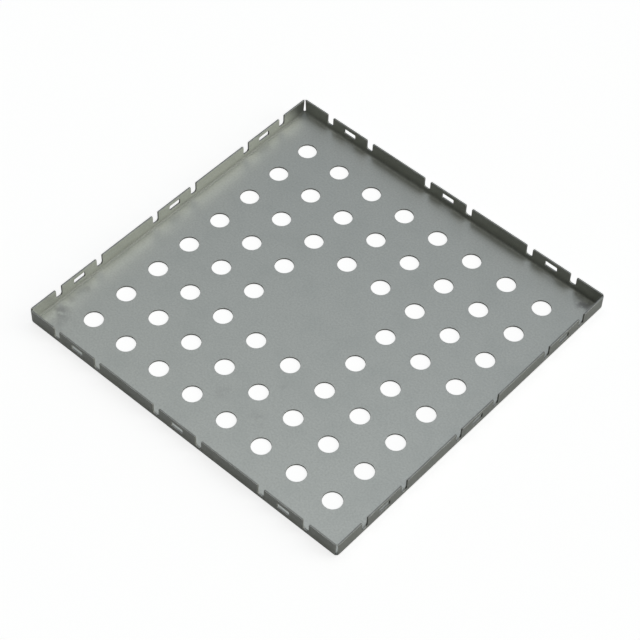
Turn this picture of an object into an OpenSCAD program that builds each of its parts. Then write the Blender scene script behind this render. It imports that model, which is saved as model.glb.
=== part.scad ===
// Clip-on cover of a two-piece board shield, lying on its plate with the open side up.
// It is one sheet of tin-plated steel: a perforated plate, four walls folded up from it that
// turn round the corners, spring tabs between notches in each wall, and an open slit at each corner.
// The origin is at the middle of the plate's outer face, and the walls rise along +Z.

/* [Sheet] */
// Thickness of the sheet
sheet_t = 0.2; // [0.14:0.01:0.26]
// Inside radius of the folds
fold_r = 0.25; // [0.15:0.01:0.32]

/* [Cover] */
// Outside length along X
cover_x = 44.4; // [30:0.1:60]
// Outside length along Y
cover_y = 44.4; // [30:0.1:60]
// Height from the plate's outer face to the top of the walls
cover_h = 2.1; // [1.9:0.05:4]

/* [Vent holes] */
// Diameter of a vent hole
hole_d = 2.2; // [1:0.05:3.5]
// Distance between the centres of neighbouring holes
hole_pitch = 4.96; // [4:0.02:8]
// Least distance from a hole's centre to the outside of a wall
hole_edge = 4.8; // [2.8:0.1:8]
// Side of the square in the middle that is kept clear for a pick-up nozzle
pick_side = 12; // [0:0.5:24]

/* [Spring tabs] */
// Width of a tab between its two notches
tab_w = 5.25; // [3.5:0.05:7]
// Distance between the middles of neighbouring tabs
tab_pitch = 14.9; // [10:0.1:20]
// Least distance from a tab's middle to the outside of the next wall
tab_edge = 7; // [5.6:0.1:12]
// Width of a notch beside a tab
notch_w = 0.88; // [0.6:0.02:1.4]
// Height of a notch's floor above the plate's outer face
notch_floor = 0.78; // [0.55:0.01:0.95]
// Rounding of a notch's floor into its sides
notch_r = 0.28; // [0.05:0.01:0.29]
// Rounding of the wall's top at each side of a notch
mouth_r = 0.12; // [0.05:0.01:0.4]

/* [Snap slots] */
// Length of the slot in a tab
slot_l = 1.67; // [1:0.01:3]
// Height of the slot in a tab
slot_h = 0.72; // [0.4:0.01:0.9]
// Height of the slot's middle above the plate's outer face
slot_z = 1.27; // [1.05:0.01:1.35]
// Rounding of the slot's corners
slot_r = 0.12; // [0.03:0.01:0.19]

/* [Corner slits] */
// Width of a slit at the top of the walls
slit_top = 0.11; // [0.05:0.01:0.2]
// Width of a slit at its round floor
slit_w = 0.28; // [0.2:0.01:0.34]
// Depth of a slit's floor below the top of the folds
slit_drop = 0.18; // [0.05:0.01:0.22]

/* [Hidden] */
$fn = 64;
// Outside radius of the folds
fold_out = fold_r + sheet_t;
// Overrun of a cut past the face that it opens
overrun = 1;
// Distance from a tab's middle to the middle of its notches
notch_offset = (tab_w + notch_w) / 2;
// Height of the walls above the folds
wall_rise = cover_h - fold_out;

// Numbers of holes and tabs that fit along a side
function fit_count(side, edge, pitch) = floor((side - 2 * edge) / pitch) + 1;

// Evenly spaced places about the middle of a side
function spread(count, pitch) = [for (i = [0 : count - 1]) (i - (count - 1) / 2) * pitch];

hole_xs = spread(fit_count(cover_x, hole_edge, hole_pitch), hole_pitch);
hole_ys = spread(fit_count(cover_y, hole_edge, hole_pitch), hole_pitch);

// A hole that would reach into the clear square is left out
function is_clear(x, y) = max(abs(x), abs(y)) - hole_d / 2 < pick_side / 2;

// Section of a fold: a quarter ring about the origin, to the right of it and below it
module fold_section() {
    intersection() {
        difference() {
            circle(fold_out);
            circle(fold_r);
        }
        translate([0, -fold_out]) square(fold_out);
    }
}

// Waste outside the rounding of a corner at the origin that points up along +Y and out along +X
module corner_waste(r) {
    difference() {
        translate([-r, -r]) square([2 * r, r + overrun]);
        translate([-r, -r]) circle(r);
    }
}

// Notch whose floor is rounded into its sides, and whose mouth is rounded into the wall's top
module notch() {
    run = notch_w / 2 - notch_r;
    round_z = notch_floor + notch_r;
    for (end = [-1, 1]) translate([end * run, round_z]) circle(notch_r);
    translate([-run, notch_floor]) square([2 * run, notch_r]);
    translate([-notch_w / 2, round_z]) square([notch_w, cover_h - round_z + overrun]);
    for (turn = [0, 1]) mirror([turn, 0]) translate([-notch_w / 2, cover_h]) corner_waste(mouth_r);
}

// Slot with rounded corners
module snap_slot() {
    run = slot_l / 2 - slot_r;
    rise = slot_h / 2 - slot_r;
    translate([-slot_l / 2, slot_z - rise]) square([slot_l, 2 * rise]);
    translate([-run, slot_z - slot_h / 2]) square([2 * run, slot_h]);
    for (x = [-run, run], z = [slot_z - rise, slot_z + rise]) translate([x, z]) circle(slot_r);
}

// Elevation of one wall above its fold
module wall_elevation(side) {
    difference() {
        translate([fold_out - side / 2, fold_out]) square([side - 2 * fold_out, wall_rise]);
        for (x = spread(fit_count(side, tab_edge, tab_pitch), tab_pitch)) {
            translate([x, 0]) snap_slot();
            for (edge = [-1, 1]) translate([x + edge * notch_offset, 0]) notch();
        }
    }
}

// One wall with its fold, along X, with its outer face at +reach in Y
module folded_wall(side, reach) {
    translate([fold_out - side / 2, reach - fold_out, fold_out]) rotate([90, 0, 90])
        linear_extrude(side - 2 * fold_out) fold_section();
    translate([0, reach, 0]) rotate([90, 0, 0]) linear_extrude(sheet_t) wall_elevation(side);
}

// Outline of a corner slit, from the top of the folds: a round floor, and sides that lean together upwards
module slit_outline() {
    round_z = slit_w / 2 - slit_drop;
    low = slit_w / 2;
    top = slit_top / 2;
    translate([0, round_z]) circle(low);
    polygon([[-low, round_z], [low, round_z], [top, wall_rise], [-top, wall_rise]]);
    translate([-top, wall_rise]) square([slit_top, overrun]);
}

// The +X +Y corner: the fold's section and the wall above it turned round, less the slit on the diagonal
module corner(x, y) {
    translate([x - fold_out, y - fold_out, fold_out]) difference() {
        union() {
            rotate_extrude(angle = 90) fold_section();
            rotate_extrude(angle = 90) translate([fold_r, 0]) square([sheet_t, wall_rise]);
        }
        rotate(45) rotate([90, 0, 90]) linear_extrude(fold_out + overrun) slit_outline();
    }
}

// Plate between the folds, with its vent holes
module plate() {
    difference() {
        translate([fold_out - cover_x / 2, fold_out - cover_y / 2, 0])
            cube([cover_x - 2 * fold_out, cover_y - 2 * fold_out, sheet_t]);
        for (x = hole_xs, y = hole_ys) if (!is_clear(x, y)) translate([x, y, -overrun])
            cylinder(h = sheet_t + 2 * overrun, d = hole_d);
    }
}

// The whole folded sheet
module shield_cover() {
    color("#959b98") union() {
        plate();
        for (turn = [0, 180]) rotate(turn) {
            folded_wall(cover_x, cover_y / 2);
            rotate(90) folded_wall(cover_y, cover_x / 2);
            corner(cover_x / 2, cover_y / 2);
            rotate(90) corner(cover_y / 2, cover_x / 2);
        }
    }
}

shield_cover();
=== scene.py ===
"""Clip-on cover of a two-piece board shield: one folded, perforated sheet of tinned steel on a white floor.

The sheet is worked out flat, in its own coordinates: along a side, out from the middle of the plate, and
through the thickness. A quarter of it is made as grids of points, folded up, and turned to its four places.
"""

import math
from collections import namedtuple

import bpy
import numpy as np
from mathutils import Matrix, Vector


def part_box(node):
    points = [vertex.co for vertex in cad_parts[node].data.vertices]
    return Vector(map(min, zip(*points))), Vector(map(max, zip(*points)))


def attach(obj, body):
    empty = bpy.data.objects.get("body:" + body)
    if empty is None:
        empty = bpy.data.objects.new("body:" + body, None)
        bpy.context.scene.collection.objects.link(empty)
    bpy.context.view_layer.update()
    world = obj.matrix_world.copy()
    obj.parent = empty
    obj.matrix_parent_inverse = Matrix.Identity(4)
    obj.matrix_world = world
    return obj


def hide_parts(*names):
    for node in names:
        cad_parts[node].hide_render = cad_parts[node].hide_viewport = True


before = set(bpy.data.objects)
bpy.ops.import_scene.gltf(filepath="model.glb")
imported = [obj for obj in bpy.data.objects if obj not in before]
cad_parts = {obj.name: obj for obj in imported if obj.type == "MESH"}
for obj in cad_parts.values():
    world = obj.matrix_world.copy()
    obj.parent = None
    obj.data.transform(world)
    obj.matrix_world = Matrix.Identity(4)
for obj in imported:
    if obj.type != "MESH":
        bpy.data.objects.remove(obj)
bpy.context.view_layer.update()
COVER_LOW, COVER_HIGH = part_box("shield_cover")

bl_info = {
    "name": "Board shield cover",
    "version": (1, 0, 0),
    "blender": (4, 5, 0),
    "location": "View3D > Sidebar > Shield cover",
    "description": "Makes the folded cover of a board shield and the stage that it lies on",
    "category": "Add Mesh",
}

# Points closer than this are one vertex
WELD = 1e-8
# Material slots of the cover
FACE, EDGE = 0, 1
# The sheet's two faces, as signs of the distance through it
OUTSIDE, INSIDE = -1, 1
# A quarter turn
QUARTER = math.pi / 2
# Cells of the plate, with a hole in each but the first, from its middle to its margin
CELLS = 4
# Share of a cut edge's rounding that is left along a corner slit
SLIT_ROUNDING = 0.2
# Noise levels between which the pits, smudges and flecks fade in
PIT_NOISE = (0.32, 0.68)
SMUDGE_NOISE = (0.42, 0.74)
FLECK_NOISE = (0.35, 0.6)
# Soft lights of the room: direction from +X towards +Y and height in degrees, brightness and colour
LIGHTS = {
    "window": (48.0, 45.0, 1.42, (0.99, 1.0, 0.94)),
    "sill": (36.0, 13.0, 1.45, (0.99, 1.0, 0.94)),
    "ceiling": (120.0, 70.0, 0.945, (0.94, 1.0, 1.13)),
    "side": (180.0, 70.0, 0.75, (1.0, 1.0, 0.86)),
    "back": (135.0, 10.0, 0.5, (0.84, 1.0, 1.15)),
    "front": (330.0, 16.0, 0.66, (1.0, 1.0, 1.0)),
}
# A grid's points, their normals and places on the flat sheet and on a cut edge, and the finish of its columns
Grid = namedtuple("Grid", "points normals sheet rim finish")
# Stains on the plate, and painted shade near two of its corners: x, y, radius and strength
STAINS_AND_CORNER_SHADE = (
    (-0.0208, -0.0189, 0.0015, 0.6), (-0.0211, -0.0174, 0.0012, 0.5), (-0.0211, -0.0148, 0.0011, 0.5),
    (-0.0197, -0.0203, 0.0024, 0.35), (-0.0003, -0.0150, 0.0016, 0.18), (0.0048, -0.0149, 0.0018, 0.2),
    (0.0039, -0.0101, 0.0007, 0.18), (0.0200, 0.0210, 0.0010, 1.0), (0.0207, 0.0214, 0.0010, 0.7),
    (0.0209, 0.0207, 0.0008, 1.0), (0.0204, 0.0204, 0.0009, 0.5), (0.0186, 0.0216, 0.0008, 0.4),
)

# Numbers of segments
CELL_SEGMENTS = 16
CELL_ROWS = 2
FOLD_SEGMENTS = 8
WALL_ROWS = 10
CUT_ROWS = 3
NOTCH_FOOT = 12
NOTCH_ARC = 5
NOTCH_SIDE = 6
MOUTH_ARC = 4
SLOT_STRAIGHT = 8
SLOT_ARC = 4
TAB_SEGMENTS = 2
GAP_SEGMENTS = 6
END_SEGMENTS = 4
CORNER_ROWS = 6
POLE_SEGMENTS = 4
LIP_ARC = 2
SLIT_SIDE = 12
SLIT_ARC = WALL_ROWS + FOLD_SEGMENTS + POLE_SEGMENTS // 2 - SLIT_SIDE - LIP_ARC
ROLL_SEGMENTS = 4
BURR_SEGMENTS = 2


def length(name, description, default):
    """A length in metres."""
    return bpy.props.FloatProperty(
        name=name, description=description, default=default, min=0.0, precision=5,
        subtype="DISTANCE", unit="LENGTH",
    )


def angle(name, description, degrees):
    """An angle, given in degrees and kept in radians."""
    return bpy.props.FloatProperty(
        name=name, description=description, default=math.radians(degrees), subtype="ANGLE", unit="ROTATION",
    )


def share(name, description, default):
    """A plain number from 0 to 1."""
    return bpy.props.FloatProperty(
        name=name, description=description, default=default, min=0.0, max=1.0, subtype="FACTOR",
    )


def colour(name, description, default):
    """A linear colour."""
    return bpy.props.FloatVectorProperty(
        name=name, description=description, default=default, size=3, min=0.0, subtype="COLOR",
    )


def brightness(name, description, default):
    """The brightness of a light, where 1 is white."""
    return bpy.props.FloatProperty(name=name, description=description, default=default, min=0.0)


class CoverSizes(bpy.types.PropertyGroup):
    """Sizes of the folded sheet."""

    side: length("Side", "Outside length of each side", COVER_HIGH.x - COVER_LOW.x)
    height: length("Height", "From the plate's outer face to the walls' top", COVER_HIGH.z - COVER_LOW.z)
    sheet: length("Sheet", "Thickness of the sheet", 0.0002)
    fold: length("Fold", "Inside radius of the folds", 0.00025)
    hole: length("Hole", "Diameter of a vent hole", 0.0022)
    hole_pitch: length("Hole pitch", "Distance between neighbouring holes", 0.00496)
    tab: length("Tab", "Width of a spring tab between its notches", 0.00525)
    tab_pitch: length("Tab pitch", "Distance between neighbouring tabs", 0.0149)
    notch: length("Notch", "Width of a notch", 0.00088)
    notch_floor: length("Notch floor", "Height of a notch's floor", 0.00078)
    notch_round: length("Notch rounding", "Rounding of a notch's floor into its sides", 0.00028)
    mouth: length("Mouth", "Rounding of the wall's top beside a notch", 0.00012)
    slot_length: length("Slot length", "Length of the slot in a tab", 0.00167)
    slot_height: length("Slot height", "Height of the slot in a tab", 0.00072)
    slot_middle: length("Slot middle", "Height of the slot's middle", 0.00127)
    slot_round: length("Slot rounding", "Rounding of the slot's corners", 0.00012)
    slit_top: length("Slit top", "Width of a corner slit at the walls' top", 0.00011)
    slit_foot: length("Slit foot", "Width of a corner slit at its round floor", 0.00028)
    slit_drop: length("Slit drop", "Depth of a corner slit's floor below the top of the folds", 0.00018)
    lip: length("Lip", "Rounding of the wall's top beside a corner slit", 0.00006)
    roll: length("Die roll", "Rounding of a cut edge on the inner face", 0.00002)
    burr: length("Burr", "Rounding of a cut edge on the outer face", 0.00002)


class CoverFinish(bpy.types.PropertyGroup):
    """Colours and gloss of the sheet."""

    tin: colour("Tin", "Colour of the satin tin plating", (0.71, 0.726, 0.683))
    pit: colour("Pits", "Colour of the plating's fine pits", (0.62, 0.634, 0.595))
    smudge: colour("Smudges", "Colour of the plating where it was handled", (0.52, 0.55, 0.52))
    # The stain colour is also the painted shade near two of the plate's corners
    stain_and_shade: colour("Stains and corner shade", "Colour of the plating where it is stained", (0.34, 0.34, 0.33))
    steel: colour("Steel", "Colour of the sheared edges", (0.36, 0.363, 0.345))
    smear: colour("Smear", "Colour of the tin drawn over the sheared edges", (0.45, 0.455, 0.435))
    pit_size: length("Pit size", "Width of the plating's fine pits", 0.00022)
    pit_relief: share("Pit relief", "How much of the relief the pits have", 0.12)
    smudge_size: length("Smudge size", "Width of a smudge on the plating", 0.0035)
    smudge_share: share("Smudge share", "How much a smudge changes the plating's colour", 0.2)
    satin: share("Satin", "Roughness of the plating", 0.45)
    satin_spread: share("Satin spread", "Change of the plating's roughness over its pits", 0.03)
    strain: share("Strain", "Roughness of the plating in the folds", 0.75)
    strain_reach: length("Strain reach", "How far from the middle of a fold the plating is strained", 0.0005)
    shear: share("Shear", "Roughness of the sheared edges", 0.5)
    shear_spread: share("Shear spread", "Change of the sheared edges' roughness over their score lines", 0.1)
    smear_size: length("Smear size", "Width of a patch of smeared tin", 0.0008)
    score_width: length("Score width", "Width of a score line on the sheared edges", 0.00004)
    score_length: length("Score length", "Length of a score line on the sheared edges", 0.0006)
    score_relief: share("Score relief", "How much of the relief the score lines have", 0.3)
    relief: length("Relief", "Depth of the whole relief", 0.00001)


class StageSettings(bpy.types.PropertyGroup):
    """Floor, light and camera."""

    floor_side: length("Floor", "Side of the square floor", 6.0)
    floor_colour: colour("Floor colour", "Colour of the floor", (0.5, 0.5, 0.5))
    floor_white: share("Floor white", "White that the floor adds to its shading from far away", 0.803)
    floor_close: share("Floor close", "White that the floor adds to its shading from close by", 0.03)
    floor_near: length("Floor near", "Distance at which the added white begins to grow", 0.005)
    floor_far: length("Floor far", "Distance from which the added white is whole", 0.03)
    softness: bpy.props.FloatProperty(
        name="Softness", description="How fast each light fades away from its middle", default=16.0, min=0.0,
    )
    aim: bpy.props.FloatVectorProperty(
        name="Aim", description="Point that the camera looks at", default=(0.00063, -0.00056, 0.0001),
        size=3, subtype="TRANSLATION", unit="LENGTH", precision=5,
    )
    turn: angle("Turn", "Camera's direction round the cover, from -Y towards +X", 39.74)
    rise: angle("Rise", "Camera's height above the horizon", 50.9)
    roll: angle("Roll", "Camera's turn about its own axis", 2.65)
    distance: length("Distance", "From the aim to the camera", 0.2185)
    lens: bpy.props.FloatProperty(
        name="Lens", description="Focal length on a sensor 36 mm wide", default=112.54, min=1.0,
        unit="CAMERA",
    )
    nearest: length("Nearest", "Distance from which the camera sees", 0.01)


def light_settings(name, turn, rise, bright, tone):
    """Settings of one of the room's lights."""
    title = name.title()
    return {
        f"{name}_turn": angle(f"{title} turn", f"Direction of the {name} light, from +X towards +Y", turn),
        f"{name}_rise": angle(f"{title} rise", f"Height of the {name} light above the horizon", rise),
        f"{name}_level": brightness(f"{title} level", f"Brightness of the {name} light", bright),
        f"{name}_colour": colour(f"{title} colour", f"Colour of the {name} light", tone),
    }


for light, values in LIGHTS.items():
    StageSettings.__annotations__.update(light_settings(light, *values))


class Blank:
    """Lengths of the flat sheet that follow from the cover's sizes."""

    def __init__(self, sizes):
        self.sheet = sizes.sheet
        self.top = sizes.height
        self.fold_out = sizes.fold + sizes.sheet
        self.fold_mid = sizes.fold + sizes.sheet / 2
        # Out to here the sheet is flat, and from wall_foot on it is a wall
        self.flat = sizes.side / 2 - self.fold_out
        self.wall_foot = self.flat + self.fold_mid * QUARTER
        self.hole_r = sizes.hole / 2
        self.pitch = sizes.hole_pitch
        self.tabs = sizes.tab_pitch * np.array([-1.0, 0.0, 1.0])
        self.notch_half = sizes.notch / 2
        self.notch_offset = (sizes.tab + sizes.notch) / 2
        self.notch_floor = sizes.notch_floor
        self.notch_round = sizes.notch_round
        self.mouth = sizes.mouth
        self.notch_reach = self.notch_half + sizes.mouth
        self.slot_half = np.array([sizes.slot_length, sizes.slot_height]) / 2
        self.slot_middle = sizes.slot_middle
        self.slot_round = sizes.slot_round
        self.slot_reach = self.slot_half.sum()
        self.slit_top = sizes.slit_top / 2
        self.slit_foot = sizes.slit_foot / 2
        self.slit_round = self.fold_out - sizes.slit_drop + self.slit_foot
        self.lip = sizes.lip
        self.insets = {OUTSIDE: sizes.burr, INSIDE: sizes.roll}
        roll_turn = np.linspace(0.0, QUARTER, ROLL_SEGMENTS + 1)
        burr_turn = np.linspace(0.0, QUARTER, BURR_SEGMENTS + 1)
        # A cut edge from the outer face to the inner one: inset, distance through, and the normal's parts
        self.cut_inset = np.concatenate([
            sizes.burr * (1 - np.sin(burr_turn)),
            sizes.roll * (1 - np.cos(roll_turn)),
        ])
        self.cut_through = np.concatenate([
            sizes.burr * (1 - np.cos(burr_turn)) - self.sheet / 2,
            self.sheet / 2 - sizes.roll * (1 - np.sin(roll_turn)),
        ])
        self.cut_open = np.concatenate([np.sin(burr_turn), np.cos(roll_turn)])
        self.cut_up = np.concatenate([-np.cos(burr_turn), np.sin(roll_turn)])
        self.cut_finish = np.array([FACE] * BURR_SEGMENTS + [EDGE] + [FACE] * ROLL_SEGMENTS)


def fold_state(blank, out, through):
    """The sheet's turn and rise at a distance out, and the radius on which a layer of it turns.

    The turn is the length of arc past the flat over the fold's middle radius, up to a quarter.
    """
    turn = np.clip((out - blank.flat) / blank.fold_mid, 0.0, QUARTER)
    rise = np.maximum(out - blank.wall_foot, 0.0)
    return turn, rise, blank.fold_mid - through


def fold_up(blank, along, out, through, lean):
    """Folds a side up: the sheet is flat to the fold, then turns with it, then rises straight.

    The point lies on the middle surface, moved through the sheet along its normal. The normal's parts along,
    out and through turn with the sheet.
    """
    turn, rise, ring = fold_state(blank, out, through)
    points = np.stack([
        along,
        np.minimum(out, blank.flat) + ring * np.sin(turn),
        blank.fold_out - ring * np.cos(turn) + rise,
    ], -1)
    normals = np.stack([
        lean[..., 0],
        lean[..., 1] * np.cos(turn) - lean[..., 2] * np.sin(turn),
        lean[..., 1] * np.sin(turn) + lean[..., 2] * np.cos(turn),
    ], -1)
    return points, normals, np.stack([along, out], -1)


def turn_corner(blank, around, out, through, lean):
    """Turns a fold and its wall round a corner: the radius grows with the sine of the fold's turn."""
    turn, rise, ring = fold_state(blank, out, through)
    cos, sin = np.cos(around), np.sin(around)
    points = np.stack([
        blank.flat + ring * np.sin(turn) * cos,
        blank.flat + ring * np.sin(turn) * sin,
        blank.fold_out - ring * np.cos(turn) + rise,
    ], -1)
    level = lean[..., 1] * np.cos(turn) - lean[..., 2] * np.sin(turn)
    normals = np.stack([
        level * cos - lean[..., 0] * sin,
        level * sin + lean[..., 0] * cos,
        lean[..., 1] * np.sin(turn) + lean[..., 2] * np.cos(turn),
    ], -1)
    spread = out - blank.flat
    return points, normals, np.stack([blank.flat + spread * cos, blank.flat + spread * sin], -1)


def between(start, end, rows):
    """Rows of points from one line to another, evenly spaced: start plus a share of the way to end."""
    way = np.linspace(0.0, 1.0, rows + 1)[:, None]
    return start[..., None, :, :] * (1 - way[..., None]) + end[..., None, :, :] * way[..., None]


def face_grid(blank, bend, flat, face):
    """One face of a patch: the flat points at half a sheet's distance, with normals straight out of it."""
    along, out = flat[..., 0], flat[..., 1]
    lean = np.zeros(along.shape + (3,))
    lean[..., 2] = face
    points, normals, sheet = bend(blank, along, out, np.full(along.shape, face * blank.sheet / 2), lean)
    return Grid(points, normals, sheet, np.zeros(along.shape + (2,)), np.full(along.shape[-1] - 1, FACE))


def run_along(outline):
    """Distance along an outline from its start."""
    step = np.linalg.norm(np.diff(outline, axis=-2), axis=-1)
    return np.concatenate([np.zeros(step.shape[:-1] + (1,)), np.cumsum(step, -1)], -1)


def cut_grid(blank, outline, opening):
    """Sheared edge: the cut's profile carried along an outline, set in from it away from the opening."""
    along = outline[..., 0, None] - blank.cut_inset * opening[..., 0, None]
    out = outline[..., 1, None] - blank.cut_inset * opening[..., 1, None]
    through = np.broadcast_to(blank.cut_through, along.shape)
    lean = np.stack([
        opening[..., 0, None] * blank.cut_open,
        opening[..., 1, None] * blank.cut_open,
        np.broadcast_to(blank.cut_up, along.shape),
    ], -1)
    points, normals, sheet = fold_up(blank, along, out, through, lean)
    rim = np.stack([np.broadcast_to(run_along(outline)[..., None], along.shape), through], -1)
    return Grid(points, normals, sheet, rim, blank.cut_finish)


def arc(middle, radius, start, end, segments, opening=1.0):
    """Points of an arc and their directions of opening: away from its middle, or towards it for -1."""
    turn = np.linspace(start, end, segments + 1)
    ray = np.stack([np.cos(turn), np.sin(turn)], -1)
    return np.array(middle) + radius * ray, opening * ray


def line(start, end, segments, opening=(0, 0)):
    """Points of a straight line, all with one direction of opening, or none for a plain border."""
    way = np.linspace(0.0, 1.0, segments + 1)[:, None]
    points = np.array(start) * (1 - way) + np.array(end) * way
    return points, np.broadcast_to(np.array(opening, float), points.shape)


def chain(*parts):
    """One outline from several that meet end to end, with each shared point kept once."""
    points = np.concatenate([parts[0][0]] + [p[1:] for p, _ in parts[1:]])
    opening = np.concatenate([parts[0][1]] + [o[1:] for _, o in parts[1:]])
    return points, opening


def plate_grids(blank):
    """A quarter of the plate: square cells round the holes, and the cell without a hole next to the middle.

    A cell's rows run from its circle to its square, at equal steps of angle and of side.
    """
    steps = np.arange(CELLS)
    spots = (np.stack(np.meshgrid(steps, steps, indexing="ij"), -1).reshape(-1, 2) + 0.5) * blank.pitch
    holes = spots[1:, None, :]
    corners = np.array([[-1, -1], [1, -1], [1, 1], [-1, 1], [-1, -1]]) * blank.pitch / 2
    side = np.linspace(0.0, 1.0, CELL_SEGMENTS + 1)[:-1, None]
    sides = [start * (1 - side) + end * side for start, end in zip(corners[:-1], corners[1:])]
    border = np.concatenate(sides + [corners[-1:]])
    rim, ray = arc((0.0, 0.0), blank.hole_r, -1.5 * QUARTER, 2.5 * QUARTER, 4 * CELL_SEGMENTS, opening=-1.0)
    even = np.linspace(0.0, 1.0, CELL_SEGMENTS + 1) * blank.pitch
    plain = np.stack(np.meshgrid(even, even, indexing="ij"), -1)
    grids = [cut_grid(blank, holes + rim, np.broadcast_to(ray, (len(holes),) + ray.shape))]
    for face, inset in blank.insets.items():
        cells = between(holes + rim - inset * ray, holes + border, CELL_ROWS)
        grids += [face_grid(blank, fold_up, flat, face) for flat in (cells, plain)]
    return grids


def wall_spans(blank):
    """The wall's columns from end to end, as kind, left, right and number of segments."""
    notch_in = blank.notch_offset - blank.notch_reach
    notch_out = blank.notch_offset + blank.notch_reach
    kinds = ("notch", "plain", "slot", "plain", "notch")
    counts = (NOTCH_FOOT, TAB_SEGMENTS, SLOT_STRAIGHT, TAB_SEGMENTS, NOTCH_FOOT)
    spans = []
    for middle in blank.tabs:
        stops = middle + np.array([
            -notch_out, -notch_in, -blank.slot_reach, blank.slot_reach, notch_in, notch_out,
        ])
        if spans:
            spans.append(("plain", spans[-1][2], stops[0], GAP_SEGMENTS))
        spans += zip(kinds, stops[:-1], stops[1:], counts)
    first, last = spans[0][1], spans[-1][2]
    return [("plain", -blank.flat, first, END_SEGMENTS)] + spans + [("plain", last, blank.flat, END_SEGMENTS)]


def margin_grids(blank, spans):
    """The strip from the holes' cells to the fold, and the fold itself, in the wall's columns."""
    columns = [np.linspace(left, right, count + 1)[:-1] for _, left, right, count in spans]
    stations = np.concatenate(columns + [[blank.flat]])
    edge = CELLS * blank.pitch
    inner = np.stack([np.linspace(-edge, edge, len(stations)), np.full(len(stations), edge)], -1)
    outer = np.stack([stations, np.full(len(stations), blank.flat)], -1)
    foot = np.stack([stations, np.full(len(stations), blank.wall_foot)], -1)
    grids = []
    for face in blank.insets:
        grids.append(face_grid(blank, fold_up, between(inner, outer, CELL_ROWS), face))
        grids.append(face_grid(blank, fold_up, between(outer, foot, FOLD_SEGMENTS), face))
    return grids


def notch_outline(blank):
    """Outline of a notch about its middle: mouth, side, floor between two roundings, side and mouth."""
    half, floor, r = blank.notch_half, blank.notch_floor, blank.notch_round
    run, low, top = half - r, floor + r, blank.top - blank.mouth
    return chain(
        arc((-blank.notch_reach, top), blank.mouth, QUARTER, 0.0, MOUTH_ARC),
        line((-half, top), (-half, low), NOTCH_SIDE, (1, 0)),
        arc((-run, low), r, 2 * QUARTER, 3 * QUARTER, NOTCH_ARC, opening=-1.0),
        line((-run, floor), (run, floor), NOTCH_FOOT - 2 * NOTCH_ARC, (0, 1)),
        arc((run, low), r, 3 * QUARTER, 4 * QUARTER, NOTCH_ARC, opening=-1.0),
        line((half, low), (half, top), NOTCH_SIDE, (-1, 0)),
        arc((blank.notch_reach, top), blank.mouth, 2 * QUARTER, QUARTER, MOUTH_ARC),
    )


def slot_outline(blank):
    """Closed outline of a slot about its middle: floor, side, roof and side, with a rounding after each."""
    half, high = blank.slot_half
    r, z, upright = blank.slot_round, blank.slot_middle, WALL_ROWS - 2 * SLOT_ARC
    run, rise = half - r, high - r
    return chain(
        line((-run, z - high), (run, z - high), SLOT_STRAIGHT, (0, 1)),
        arc((run, z - rise), r, -QUARTER, 0.0, SLOT_ARC, opening=-1.0),
        line((half, z - rise), (half, z + rise), upright, (-1, 0)),
        arc((run, z + rise), r, 0.0, QUARTER, SLOT_ARC, opening=-1.0),
        line((run, z + high), (-run, z + high), SLOT_STRAIGHT, (0, -1)),
        arc((-run, z + rise), r, QUARTER, 2 * QUARTER, SLOT_ARC, opening=-1.0),
        line((-half, z + rise), (-half, z - rise), upright, (1, 0)),
        arc((-run, z - rise), r, 2 * QUARTER, 3 * QUARTER, SLOT_ARC, opening=-1.0),
    )


def cut_patch(border, cut, middle, inset):
    """Sheet round a cut: rows from a border to the cut's outline about a middle, set in from it."""
    outline, opening = cut
    return between(border[0], outline - inset * opening + np.array([middle, 0.0]), CUT_ROWS)


def notch_patch(blank, left, right, count, inset):
    """Sheet round a notch: rows from the column's sides and foot to the notch's outline."""
    level = blank.top - inset
    border = chain(
        line((left, level), (left, blank.fold_out), WALL_ROWS),
        line((left, blank.fold_out), (right, blank.fold_out), count),
        line((right, blank.fold_out), (right, level), WALL_ROWS),
    )
    return cut_patch(border, notch_outline(blank), (left + right) / 2, inset)


def slot_patch(blank, left, right, count, inset):
    """Sheet round a slot: rows from the column's four sides to the slot's outline."""
    level = blank.top - inset
    border = chain(
        line((left, blank.fold_out), (right, blank.fold_out), count),
        line((right, blank.fold_out), (right, level), WALL_ROWS),
        line((right, level), (left, level), count),
        line((left, level), (left, blank.fold_out), WALL_ROWS),
    )
    return cut_patch(border, slot_outline(blank), (left + right) / 2, inset)


def plain_patch(blank, left, right, count, inset):
    """Sheet of a column without a cut in it: rows from the fold to the wall's top."""
    foot, _ = line((left, blank.fold_out), (right, blank.fold_out), count)
    top, _ = line((left, blank.top - inset), (right, blank.top - inset), count)
    return between(foot, top, WALL_ROWS)


def column_cuts(blank, kind, left, right, count):
    """Outlines of a column's cuts: its notch, or its stretch of the wall's top and its slot if it has one."""
    top = line((left, blank.top), (right, blank.top), count, (0, 1))
    if kind == "plain":
        return [top]
    outline, opening = notch_outline(blank) if kind == "notch" else slot_outline(blank)
    cut = (outline + np.array([(left + right) / 2, 0.0]), opening)
    return [cut] if kind == "notch" else [top, cut]


def wall_grids(blank, spans):
    """One wall above its fold, column by column, with the cut along its top, notches and slots."""
    lift = np.array([0.0, blank.wall_foot - blank.fold_out])
    patches = {"notch": notch_patch, "slot": slot_patch, "plain": plain_patch}
    grids = []
    for kind, left, right, count in spans:
        for face, inset in blank.insets.items():
            patch = patches[kind](blank, left, right, count, inset)
            grids.append(face_grid(blank, fold_up, patch + lift, face))
    for span in spans:
        grids += [cut_grid(blank, outline + lift, opening) for outline, opening in column_cuts(blank, *span)]
    return grids


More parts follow.
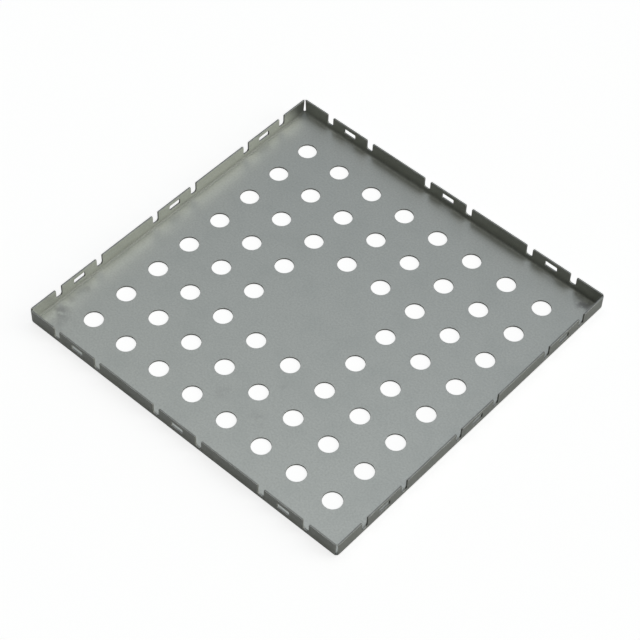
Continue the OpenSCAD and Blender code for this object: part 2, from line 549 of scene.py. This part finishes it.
def slit_outline(blank):
    """Outline of a corner slit, across its diagonal and up: lip, leaning side, round floor, side and lip.

    The lip's rounding touches the wall's top and the side. The third list is the share of the cut's rounding,
    which shrinks along the lip.
    """
    foot, low = blank.slit_foot, blank.slit_round
    side = np.array([blank.top - low, blank.slit_top - foot])
    side /= np.linalg.norm(side)
    level = blank.top - blank.lip
    reach = side @ np.array([-blank.slit_top, blank.top]) - blank.lip
    middle = np.array([(reach - level * side[1]) / side[0], level])
    start = math.atan2(side[1], side[0])
    left = chain(
        arc(middle, blank.lip, QUARTER, start, LIP_ARC),
        line(middle + blank.lip * side, (-foot, low), SLIT_SIDE, side),
        arc((0.0, low), foot, 2 * QUARTER, 3 * QUARTER, SLIT_ARC, opening=-1.0),
    )
    flip = np.array([-1.0, 1.0])
    right = (left[0][::-1] * flip, left[1][::-1] * flip)
    outline, opening = chain(left, right)
    place = np.arange(len(outline))
    fade = np.interp(np.minimum(place, place[::-1]), [0, LIP_ARC], [1.0, SLIT_ROUNDING])
    return outline, opening, fade[:, None]


def slit_place(blank, across, height, ring):
    """Angle round the corner and distance out where a ring of the sheet meets a line along the diagonal."""
    drop = np.maximum(blank.fold_out - height, 0.0)
    around = QUARTER / 2 + np.arcsin(across / np.sqrt(ring ** 2 - drop ** 2))
    out = blank.flat + blank.fold_mid * np.arccos(drop / ring) + np.maximum(height - blank.fold_out, 0.0)
    return around, out


def corner_cut(blank, outline, opening, fade):
    """Sheared edge of a corner: along one wall's top, down and up the slit, and along the other's top.

    The slit's faces run along the diagonal, so their normal lies across it.
    """
    ring = blank.fold_mid - blank.cut_through
    inset = blank.cut_inset * fade
    across = outline[:, 0, None] - inset * opening[:, 0, None]
    height = outline[:, 1, None] - inset * opening[:, 1, None]
    around, out = slit_place(blank, across, height, ring)
    seam = np.linspace(0.0, 1.0, CORNER_ROWS + 1)[:-1, None] * around[0]
    around = np.concatenate([seam, around, QUARTER - seam[::-1]])
    out = np.concatenate([np.repeat(out[:1], CORNER_ROWS, 0), out, np.repeat(out[-1:], CORNER_ROWS, 0)])
    opening = np.pad(opening, ((CORNER_ROWS, CORNER_ROWS), (0, 0)), mode="edge")
    through = np.broadcast_to(blank.cut_through, around.shape)
    lean = np.zeros(around.shape + (3,))
    lean[..., 2] = blank.cut_up
    points, normals, sheet = turn_corner(blank, around, out, through, lean)
    cross = math.sqrt(0.5)
    spread = np.stack([-cross * opening[:, 0], cross * opening[:, 0], opening[:, 1]], -1)
    normals = normals + spread[:, None, :] * blank.cut_open[:, None]
    normals /= np.linalg.norm(normals, axis=-1, keepdims=True)
    rim = np.stack([np.broadcast_to(run_along(points[:, 0])[:, None], around.shape), through], -1)
    return Grid(points, normals, sheet, rim, blank.cut_finish)


def corner_grids(blank):
    """A corner: the fold and the walls turned round it, in rows from its two seams to the slit's outline."""
    outline, opening, fade = slit_outline(blank)
    grids = [corner_cut(blank, outline, opening, fade)]
    for face, inset in blank.insets.items():
        top = blank.wall_foot + blank.top - inset - blank.fold_out
        seams, _ = chain(
            line((0.0, top), (0.0, blank.wall_foot), WALL_ROWS),
            line((0.0, blank.wall_foot), (0.0, blank.flat), FOLD_SEGMENTS),
            line((0.0, blank.flat), (QUARTER, blank.flat), POLE_SEGMENTS),
            line((QUARTER, blank.flat), (QUARTER, blank.wall_foot), FOLD_SEGMENTS),
            line((QUARTER, blank.wall_foot), (QUARTER, top), WALL_ROWS),
        )
        edge = outline - inset * fade * opening
        ring = blank.fold_mid - face * blank.sheet / 2
        slit = np.stack(slit_place(blank, edge[:, 0], edge[:, 1], ring), -1)
        grids.append(face_grid(blank, turn_corner, between(seams, slit, CORNER_ROWS), face))
    return grids


def quarter_turn(vectors):
    """Vectors turned by a quarter about Z: the new x is minus the old y, and the new y is the old x."""
    return np.concatenate([-vectors[..., 1:2], vectors[..., :1], vectors[..., 2:]], -1)


def four_places(grid):
    """The grid at its four places round the middle."""
    for _ in range(4):
        yield grid
        points, normals, sheet = (quarter_turn(part) for part in (grid.points, grid.normals, grid.sheet))
        grid = grid._replace(points=points, normals=normals, sheet=sheet)


def grid_squares(shape, first):
    """Corner numbers of each square of a stack of grids, counted from first."""
    index = first + np.arange(math.prod(shape)).reshape((-1,) + tuple(shape[-2:]))
    corners = [index[:, :-1, :-1], index[:, 1:, :-1], index[:, 1:, 1:], index[:, :-1, 1:]]
    return np.stack(corners, -1)


def face_out(squares, points, normals):
    """The squares, each turned to the side that its normals point to."""
    corner = points[squares]
    faced = np.cross(corner[:, 2] - corner[:, 0], corner[:, 3] - corner[:, 1])
    back = np.einsum("ij,ij->i", faced, normals[squares].sum(1)) < 0
    return np.where(back[:, None], squares[:, ::-1], squares)


def smooth_mesh(name, points, corners, starts):
    """A smooth mesh from its points, its faces' corners in one row, and where each face starts in it."""
    mesh = bpy.data.meshes.new(name)
    mesh.vertices.add(len(points))
    mesh.vertices.foreach_set("co", points.ravel())
    mesh.loops.add(len(corners))
    mesh.loops.foreach_set("vertex_index", corners)
    mesh.polygons.add(len(starts))
    mesh.polygons.foreach_set("loop_start", starts)
    mesh.polygons.foreach_set("use_smooth", np.ones(len(starts), bool))
    mesh.update(calc_edges=True)
    if mesh.validate():
        raise RuntimeError(f"{name}: the grids don't join into a sound mesh")
    return mesh


def join_grids(name, grids):
    """Joins grids into one mesh.

    Points that coincide become one vertex, and a square with two equal corners becomes a triangle.
    """
    squares, finishes, first = [], [], 0
    for grid in grids:
        corners = grid_squares(grid.points.shape[:-1], first)
        squares.append(corners.reshape(-1, 4))
        finishes.append(np.broadcast_to(grid.finish, corners.shape[:-1]).ravel())
        first += math.prod(grid.points.shape[:-1])
    points = np.concatenate([grid.points.reshape(-1, 3) for grid in grids])
    normals = np.concatenate([grid.normals.reshape(-1, 3) for grid in grids])
    sheet = np.concatenate([grid.sheet.reshape(-1, 2) for grid in grids])
    rim = np.concatenate([grid.rim.reshape(-1, 2) for grid in grids])
    squares, finishes = face_out(np.concatenate(squares), points, normals), np.concatenate(finishes)
    spots = np.round(points / WELD).astype(np.int64)
    _, kept, vertex = np.unique(spots, axis=0, return_index=True, return_inverse=True)
    vertex = vertex.ravel()
    same = vertex[squares] == vertex[np.roll(squares, -1, axis=1)]
    whole, cut = same.sum(1) == 0, same.sum(1) == 1
    triangles = squares[cut][~same[cut]].reshape(-1, 3)
    loops = np.concatenate([squares[whole].ravel(), triangles.ravel()])
    starts = np.concatenate([4 * np.arange(whole.sum()), 4 * whole.sum() + 3 * np.arange(len(triangles))])
    mesh = smooth_mesh(name, points[kept], vertex[loops], starts)
    mesh.polygons.foreach_set("material_index", np.concatenate([finishes[whole], finishes[cut]]))
    for title, values in (("Blank", sheet), ("Rim", rim)):
        layer = mesh.uv_layers.new(name=title)
        layer.uv.foreach_set("vector", values[loops].ravel())
    mesh.normals_split_custom_set(normals[loops])
    return mesh


def feed(tree, socket, value):
    """Feeds an input from another node's output, or sets it to a plain value."""
    if isinstance(value, bpy.types.NodeSocket):
        tree.links.new(value, socket)
    else:
        socket.default_value = value


def add_node(tree, kind, spot, inputs=None, **options):
    """Adds a node at a place in the tree, sets its options, and feeds its inputs by name or number."""
    node = tree.nodes.new(kind)
    node.location = spot
    for title, value in options.items():
        setattr(node, title, value)
    for key, value in (inputs or {}).items():
        feed(tree, node.inputs[key], value)
    return node


def maths(tree, spot, operation, *values, **options):
    """The result of one operation on other nodes' outputs or plain values."""
    node = add_node(tree, "ShaderNodeMath", spot, dict(enumerate(values)), operation=operation, **options)
    return node.outputs[0]


def map_range(tree, spot, value, low, high, start=0.0, end=1.0, smooth=False):
    """A value between start and end, moved to the range from low to high, evenly or with soft ends."""
    node = add_node(
        tree, "ShaderNodeMapRange", spot,
        {"Value": value, "From Min": start, "From Max": end, "To Min": low, "To Max": high},
        interpolation_type="SMOOTHSTEP" if smooth else "LINEAR",
    )
    return node.outputs["Result"]


def mix_colour(tree, spot, factor, *colours):
    """Mixes two colours by a mask. Each is plain or another node's."""
    mix = add_node(tree, "ShaderNodeMix", spot, {"Factor": factor}, data_type="RGBA")
    for socket, value in zip([s for s in mix.inputs if s.type == "RGBA"], colours):
        feed(tree, socket, value if isinstance(value, bpy.types.NodeSocket) else (*value, 1.0))
    return next(s for s in mix.outputs if s.type == "RGBA")


def shader_group(name, sizes, masks):
    """An empty shader node group with a place and named sizes as inputs and masks as outputs."""
    group = bpy.data.node_groups.new(name, "ShaderNodeTree")
    group.interface.new_socket("Place", in_out="INPUT", socket_type="NodeSocketVector")
    for title, default in sizes.items():
        socket = group.interface.new_socket(title, in_out="INPUT", socket_type="NodeSocketFloat")
        socket.default_value = default
    for title in masks:
        group.interface.new_socket(title, in_out="OUTPUT", socket_type="NodeSocketFloat")
    start = add_node(group, "NodeGroupInput", (-800, 0))
    end = add_node(group, "NodeGroupOutput", (600, 0))
    return group, start.outputs, end.inputs


def grain_group():
    """Rolled grain: fine pits from one noise, and lines from a noise drawn out along the rolling."""
    group, given, masks = shader_group(
        "Rolled grain", {"Pit size": 0.0003, "Line width": 0.00012, "Line length": 0.004}, ("Pits", "Lines"),
    )
    place, width = given["Place"], given["Line width"]
    pit_scale = maths(group, (-600, 200), "DIVIDE", 1.0, given["Pit size"])
    pits = add_node(
        group, "ShaderNodeTexNoise", (-200, 200),
        {"Vector": place, "Scale": pit_scale, "Detail": 3.0, "Roughness": 0.6},
    )
    widths = add_node(
        group, "ShaderNodeCombineXYZ", (-600, -200), {"X": given["Line length"], "Y": width, "Z": width},
    )
    stretch = add_node(
        group, "ShaderNodeVectorMath", (-400, -200), {0: place, 1: widths.outputs[0]}, operation="DIVIDE",
    )
    lines = add_node(
        group, "ShaderNodeTexNoise", (-200, -200),
        {"Vector": stretch.outputs[0], "Scale": 1.0, "Detail": 2.0},
    )
    feed(group, masks["Pits"], pits.outputs["Fac"])
    feed(group, masks["Lines"], lines.outputs["Fac"])
    return group


def marks_group():
    """Handling marks and painted corner shade: soft smudges, and placed stains and spots of painted shade
    that fade from their middles, broken up by noise.
    """
    group, given, masks = shader_group(
        "Handling marks and corner shade", {"Smudge size": 0.006, "Fleck size": 0.0009}, ("Smudges", "Stains and corner shade"),
    )
    fades = []
    for row, (size, noise_levels) in enumerate((("Smudge size", SMUDGE_NOISE), ("Fleck size", FLECK_NOISE))):
        level = -300 * row
        scale = maths(group, (-600, level), "DIVIDE", 1.0, given[size])
        noise = add_node(
            group, "ShaderNodeTexNoise", (-400, level),
            {"Vector": given["Place"], "Scale": scale, "Detail": 3.0},
        )
        fade = map_range(group, (-100, level), noise.outputs["Fac"], 0.0, 1.0, *noise_levels, smooth=True)
        fades.append(fade)
    smudges, flecks = fades
    stains_and_shade = 0.0
    for row, (x, y, radius, strength) in enumerate(STAINS_AND_CORNER_SHADE):
        level = -600 - 200 * row
        gap = add_node(
            group, "ShaderNodeVectorMath", (-400, level), {0: given["Place"], 1: (x, y, 0.0)},
            operation="DISTANCE",
        )
        stain_and_shade = map_range(group, (-200, level), gap.outputs["Value"], 0.0, strength, radius, 0.0, smooth=True)
        stains_and_shade = maths(group, (0, level), "ADD", stains_and_shade, stain_and_shade)
    feed(group, masks["Smudges"], smudges)
    feed(group, masks["Stains and corner shade"], maths(group, (300, -300), "MULTIPLY", stains_and_shade, flecks, use_clamp=True))
    return group


def strain_group():
    """Strained plating: a mask along the folds that fades with the distance on the flat sheet."""
    group, given, masks = shader_group("Fold strain", {"Middle": 0.022, "Reach": 0.001}, ("Strain",))
    far = add_node(group, "ShaderNodeVectorMath", (-600, 0), {0: given["Place"]}, operation="ABSOLUTE")
    parts = add_node(group, "ShaderNodeSeparateXYZ", (-450, 0), {0: far.outputs[0]}).outputs
    out = maths(group, (-300, 0), "MAXIMUM", parts["X"], parts["Y"])
    past = maths(group, (-150, 0), "SUBTRACT", out, given["Middle"])
    gap = maths(group, (0, 0), "ABSOLUTE", past)
    feed(group, masks["Strain"], map_range(group, (200, 0), gap, 0.0, 1.0, given["Reach"], 0.0, smooth=True))
    return group


def use_group(tree, group, spot, place, **sizes):
    """Places a node group in a material, fed by a coordinate and its own sizes, and gives its outputs."""
    inputs = {title.replace("_", " "): value for title, value in sizes.items()}
    return add_node(tree, "ShaderNodeGroup", spot, {"Place": place, **inputs}, node_tree=group).outputs


def metal(name):
    """A material with a plain metallic surface, its tree, and the inputs of the surface."""
    material = bpy.data.materials.new(name)
    material.use_nodes = True
    tree = material.node_tree
    surface = tree.nodes["Principled BSDF"].inputs
    surface["Metallic"].default_value = 1.0
    return material, tree, surface


def relief(tree, height, strength, depth):
    """The normals of a relief made from a height."""
    bump = add_node(
        tree, "ShaderNodeBump", (-350, -300), {"Strength": strength, "Distance": depth, "Height": height},
    )
    return bump.outputs["Normal"]


def tinned_material(finish, grain, marks, strain, fold_middle):
    """Satin tin: fine pits in colour, gloss and relief, smudges, stains and painted corner shade over them,
    and duller folds.
    """
    material, tree, surface = metal("Tinned steel")
    place = add_node(tree, "ShaderNodeTexCoord", (-1300, 200)).outputs["Object"]
    blank = add_node(tree, "ShaderNodeUVMap", (-1300, -300), uv_map="Blank").outputs["UV"]
    pits = use_group(tree, grain, (-1100, -300), blank, Pit_size=finish.pit_size)["Pits"]
    wear_and_shade = use_group(tree, marks, (-1100, 200), place, Smudge_size=finish.smudge_size)
    dull = use_group(tree, strain, (-1100, -600), blank, Middle=fold_middle, Reach=finish.strain_reach)
    spread = map_range(tree, (-850, 0), pits, 0.0, 1.0, *PIT_NOISE)
    faint = map_range(tree, (-850, 250), wear_and_shade["Smudges"], 0.0, finish.smudge_share)
    speckled = mix_colour(tree, (-600, 200), spread, finish.tin, finish.pit)
    handled = mix_colour(tree, (-400, 200), faint, speckled, finish.smudge)
    stained_and_shaded = mix_colour(tree, (-200, 200), wear_and_shade["Stains and corner shade"], handled, finish.stain_and_shade)
    low, high = finish.satin - finish.satin_spread, finish.satin + finish.satin_spread
    satin = map_range(tree, (-600, -50), spread, low, high)
    gloss = add_node(
        tree, "ShaderNodeMix", (-350, -50), {"Factor": dull["Strain"], "A": satin, "B": finish.strain},
    )
    feed(tree, surface["Base Color"], stained_and_shaded)
    feed(tree, surface["Roughness"], gloss.outputs["Result"])
    feed(tree, surface["Normal"], relief(tree, pits, finish.pit_relief, finish.relief))
    return material


def sheared_material(finish, grain, marks):
    """Sheared steel: score lines across the sheet's thickness, and tin smeared over them in patches."""
    material, tree, surface = metal("Sheared edge")
    place = add_node(tree, "ShaderNodeTexCoord", (-1300, 200)).outputs["Object"]
    rim = add_node(tree, "ShaderNodeUVMap", (-1300, -300), uv_map="Rim").outputs["UV"]
    turned = add_node(
        tree, "ShaderNodeMapping", (-1100, -300), {"Vector": rim, "Rotation": (0.0, 0.0, QUARTER)},
    )
    lines = use_group(
        tree, grain, (-850, -300), turned.outputs[0],
        Line_width=finish.score_width, Line_length=finish.score_length,
    )["Lines"]
    smears = use_group(tree, marks, (-850, 200), place, Smudge_size=finish.smear_size)["Smudges"]
    low, high = finish.shear - finish.shear_spread, finish.shear + finish.shear_spread
    feed(tree, surface["Base Color"], mix_colour(tree, (-350, 200), smears, finish.steel, finish.smear))
    feed(tree, surface["Roughness"], map_range(tree, (-350, -50), lines, low, high))
    feed(tree, surface["Normal"], relief(tree, lines, finish.score_relief, finish.relief))
    return material


class COVER_OT_fold_sheet(bpy.types.Operator):
    """Folds the perforated sheet up into the cover."""

    bl_idname = "cover.fold_sheet"
    bl_label = "Fold the sheet"

    def execute(self, context):
        blank = Blank(context.scene.cover_sizes)
        spans = wall_spans(blank)
        quarter = plate_grids(blank) + margin_grids(blank, spans)
        quarter += wall_grids(blank, spans) + corner_grids(blank)
        mesh = join_grids("folded_cover", [placed for grid in quarter for placed in four_places(grid)])
        grain, marks = grain_group(), marks_group()
        finish = context.scene.cover_finish
        fold_middle = (blank.flat + blank.wall_foot) / 2
        mesh.materials.append(tinned_material(finish, grain, marks, strain_group(), fold_middle))
        mesh.materials.append(sheared_material(finish, grain, marks))
        cover = bpy.data.objects.new("folded_cover", mesh)
        context.scene.collection.objects.link(cover)
        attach(cover, "root")
        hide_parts("shield_cover")
        return {"FINISHED"}


def floor_material(stage):
    """Matt floor that adds white to its shading for the eye and for what mirrors it, except from close by.

    So the floor is white and keeps the cover's shadow, and the white it leaves out close by is a painted
    shade that keeps it dark in the walls that stand on it.
    """
    material = bpy.data.materials.new("White floor")
    material.use_nodes = True
    tree = material.node_tree
    path = add_node(tree, "ShaderNodeLightPath", (-900, 0)).outputs
    mirrored = maths(tree, (-700, 100), "MAXIMUM", path["Is Glossy Ray"], path["Is Transmission Ray"])
    seen = maths(tree, (-500, 100), "MAXIMUM", path["Is Camera Ray"], mirrored)
    away = map_range(
        tree, (-500, -150), path["Ray Length"], stage.floor_close, stage.floor_white,
        stage.floor_near, stage.floor_far, smooth=True,
    )
    surface = tree.nodes["Principled BSDF"].inputs
    surface["Base Color"].default_value = (*stage.floor_colour, 1.0)
    surface["Roughness"].default_value = 1.0
    surface["Specular IOR Level"].default_value = 0.0
    surface["Emission Color"].default_value = (1.0, 1.0, 1.0, 1.0)
    feed(tree, surface["Emission Strength"], maths(tree, (-250, 0), "MULTIPLY", seen, away))
    return material


def light_room(world, stage):
    """Broad soft lights that fade as the exponential of softness times the cosine from the middle less 1."""
    world.use_nodes = True
    tree = world.node_tree
    tree.nodes.clear()
    ray = add_node(tree, "ShaderNodeTexCoord", (-900, 0)).outputs["Generated"]
    room = None
    for row, name in enumerate(LIGHTS):
        turn, rise = getattr(stage, f"{name}_turn"), getattr(stage, f"{name}_rise")
        bright, tone = getattr(stage, f"{name}_level"), getattr(stage, f"{name}_colour")
        middle = (math.cos(rise) * math.cos(turn), math.cos(rise) * math.sin(turn), math.sin(rise))
        level = -250 * row
        near = add_node(
            tree, "ShaderNodeVectorMath", (-700, level), {0: ray, 1: middle}, operation="DOT_PRODUCT",
        ).outputs["Value"]
        fall = maths(tree, (-500, level), "MULTIPLY_ADD", near, stage.softness, -stage.softness)
        glow = maths(tree, (-300, level), "EXPONENT", fall)
        strong = maths(tree, (-100, level), "MULTIPLY", glow, bright)
        panel = add_node(
            tree, "ShaderNodeBackground", (100, level), {"Color": (*tone, 1.0), "Strength": strong},
        )
        if room is None:
            room = panel
        else:
            both = {0: room.outputs[0], 1: panel.outputs[0]}
            room = add_node(tree, "ShaderNodeAddShader", (300 + 150 * row, level), both)
    add_node(tree, "ShaderNodeOutputWorld", (1300, 0), {"Surface": room.outputs[0]})


def lay_floor(scene, stage):
    """A square floor under the cover."""
    half = stage.floor_side / 2
    corners = [(-half, -half, 0), (half, -half, 0), (half, half, 0), (-half, half, 0)]
    mesh = bpy.data.meshes.new("floor")
    mesh.from_pydata(corners, [], [(0, 1, 2, 3)])
    mesh.materials.append(floor_material(stage))
    floor = bpy.data.objects.new("floor", mesh)
    scene.collection.objects.link(floor)


def set_camera(scene, stage):
    """A camera at its distance from the aim, turned round the cover, raised, and rolled on its axis."""
    lens = bpy.data.cameras.new("camera")
    lens.lens = stage.lens
    lens.clip_start = stage.nearest
    camera = bpy.data.objects.new("camera", lens)
    scene.collection.objects.link(camera)
    flat = math.cos(stage.rise)
    back = Vector((flat * math.sin(stage.turn), -flat * math.cos(stage.turn), math.sin(stage.rise)))
    upright = back.to_track_quat("Z", "Y").to_matrix().to_4x4()
    place = Matrix.Translation(Vector(stage.aim) + stage.distance * back)
    camera.matrix_world = place @ upright @ Matrix.Rotation(stage.roll, 4, "Z")
    scene.camera = camera


class COVER_OT_set_stage(bpy.types.Operator):
    """Lays the floor, lights the room and sets the camera."""

    bl_idname = "cover.set_stage"
    bl_label = "Set the stage"

    def execute(self, context):
        scene = context.scene
        lay_floor(scene, scene.cover_stage)
        scene.world = bpy.data.worlds.new("Studio")
        light_room(scene.world, scene.cover_stage)
        set_camera(scene, scene.cover_stage)
        scene.view_settings.view_transform = "Standard"
        return {"FINISHED"}


class COVER_PT_sidebar(bpy.types.Panel):
    """Lists the cover's operators and settings."""

    bl_idname = "COVER_PT_sidebar"
    bl_label = "Shield cover"
    bl_space_type = "VIEW_3D"
    bl_region_type = "UI"
    bl_category = "Shield cover"

    def draw(self, context):
        for group, operator in (
            (context.scene.cover_sizes, COVER_OT_fold_sheet.bl_idname),
            (context.scene.cover_finish, None),
            (context.scene.cover_stage, COVER_OT_set_stage.bl_idname),
        ):
            box = self.layout.box()
            for key in group.bl_rna.properties.keys():
                if key not in ("rna_type", "name"):
                    box.prop(group, key)
            if operator:
                box.operator(operator)


CLASSES = (CoverSizes, CoverFinish, StageSettings, COVER_OT_fold_sheet, COVER_OT_set_stage, COVER_PT_sidebar)


def register():
    """Registers the classes and hangs their settings on the scene."""
    for cls in CLASSES:
        bpy.utils.register_class(cls)
    bpy.types.Scene.cover_sizes = bpy.props.PointerProperty(type=CoverSizes)
    bpy.types.Scene.cover_finish = bpy.props.PointerProperty(type=CoverFinish)
    bpy.types.Scene.cover_stage = bpy.props.PointerProperty(type=StageSettings)


def unregister():
    """Takes the settings off the scene and the classes out again."""
    for title in ("cover_sizes", "cover_finish", "cover_stage"):
        delattr(bpy.types.Scene, title)
    for cls in reversed(CLASSES):
        bpy.utils.unregister_class(cls)


def main():
    """Makes the cover and its stage."""
    register()
    bpy.ops.cover.set_stage()
    bpy.ops.cover.fold_sheet()


if __name__ == "__main__":
    main()
